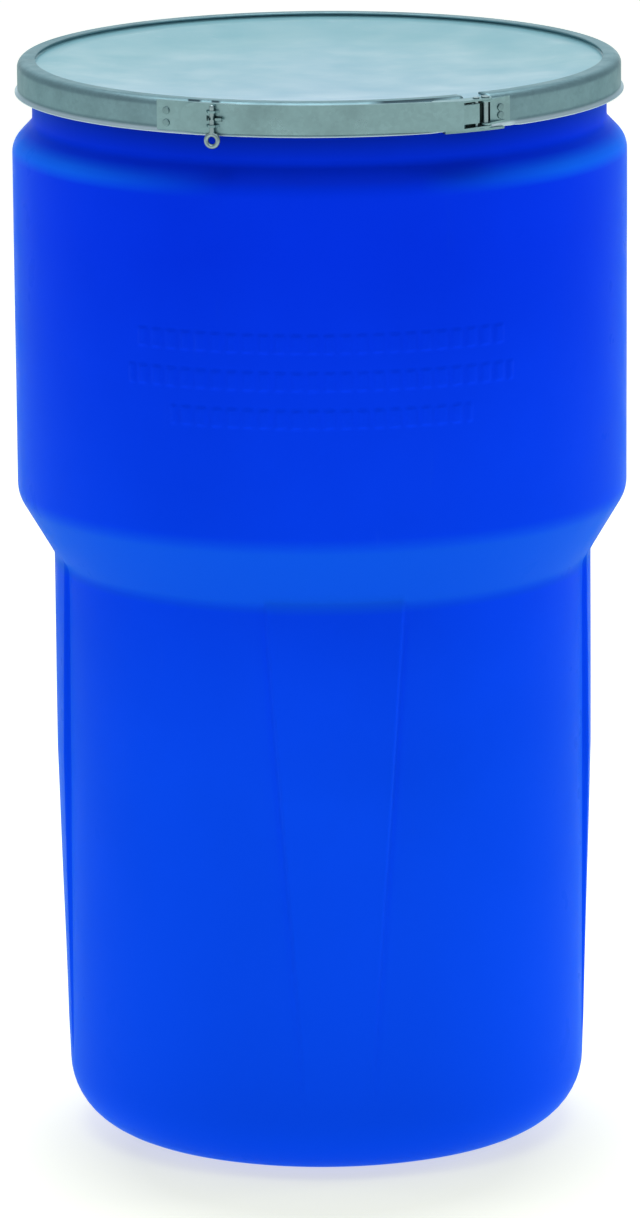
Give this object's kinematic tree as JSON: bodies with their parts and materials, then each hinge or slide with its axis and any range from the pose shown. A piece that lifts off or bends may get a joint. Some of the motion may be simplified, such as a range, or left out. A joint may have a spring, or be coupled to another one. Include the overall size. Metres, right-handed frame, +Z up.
{
  "type": "open-head nestable drum",
  "caption": "Stepped, nestable open-head plastic drum with a pressed lid and a lever-lock closing ring that clamps the lid to the rim.",
  "frame": {"origin": "centre of the base, on the floor", "axes": "+Z up along the drum's axis, -Y towards the front, where the closing lever lies, +X towards the band's gap"},
  "size_m": [0.3799, 0.38, 0.676],
  "materials": {
    "body_plastic": "semi-gloss moulded polyethylene",
    "lid_enamel": "satin enamel",
    "gasket_rubber": "matt",
    "band_zinc": "galvanised, satin",
    "closure_zinc": "galvanised, satin",
    "lever_zinc": "galvanised, satin",
    "rivet_steel": "zinc plated",
    "pin_steel": "bright zinc plated wire"
  },
  "bodies": {
    "drum": {"drum_body": "body_plastic"},
    "lid_body": {"lid": "lid_enamel", "lid_gasket": "gasket_rubber"},
    "ring": {"ring_band": "band_zinc", "link_bracket": "closure_zinc", "lever_bracket": "closure_zinc", "catch_pin": "pin_steel", "keeper": "closure_zinc", "link_bracket_rivets": "rivet_steel", "lever_bracket_rivets": "rivet_steel", "keeper_rivets": "rivet_steel", "lever_pivot_pin": "pin_steel"},
    "lever_body": {"lever": "lever_zinc", "link_pin": "pin_steel"},
    "link_body": {"toggle_link": "closure_zinc"},
    "clip_body": {"locking_clip": "pin_steel"}
  },
  "joints": [
    {"name": "ring_lift", "type": "slide", "parent": "drum", "child": "ring", "axis": [0, 0, 1], "range_m": [0, 0.3], "deforming": ["ring_band"]},
    {"name": "lid_lift", "type": "slide", "parent": "drum", "child": "lid_body", "axis": [0, 0, 1], "range_m": [0, 0.15]},
    {"name": "lever_swing", "type": "hinge", "parent": "ring", "child": "lever_body", "pos_m": [0.09948, -0.16234, 0.6663], "axis": [0, 0, 1], "range_deg": [0, 135]},
    {"name": "link_swing", "type": "hinge", "parent": "lever_body", "child": "link_body", "pos_m": [0.09391, -0.16666, 0.6663], "axis": [0, 0, 1], "range_deg": [-135, 0]},
    {"name": "clip_pull", "type": "slide", "parent": "lever_body", "child": "clip_body", "axis": [0, 0, -1], "range_m": [0, 0.025]}
  ],
  "couplings": [
    {"joint": "lid_lift", "follows": "ring_lift", "ratio": 0.5},
    {"joint": "link_swing", "follows": "lever_swing", "ratio": -1}
  ]
}
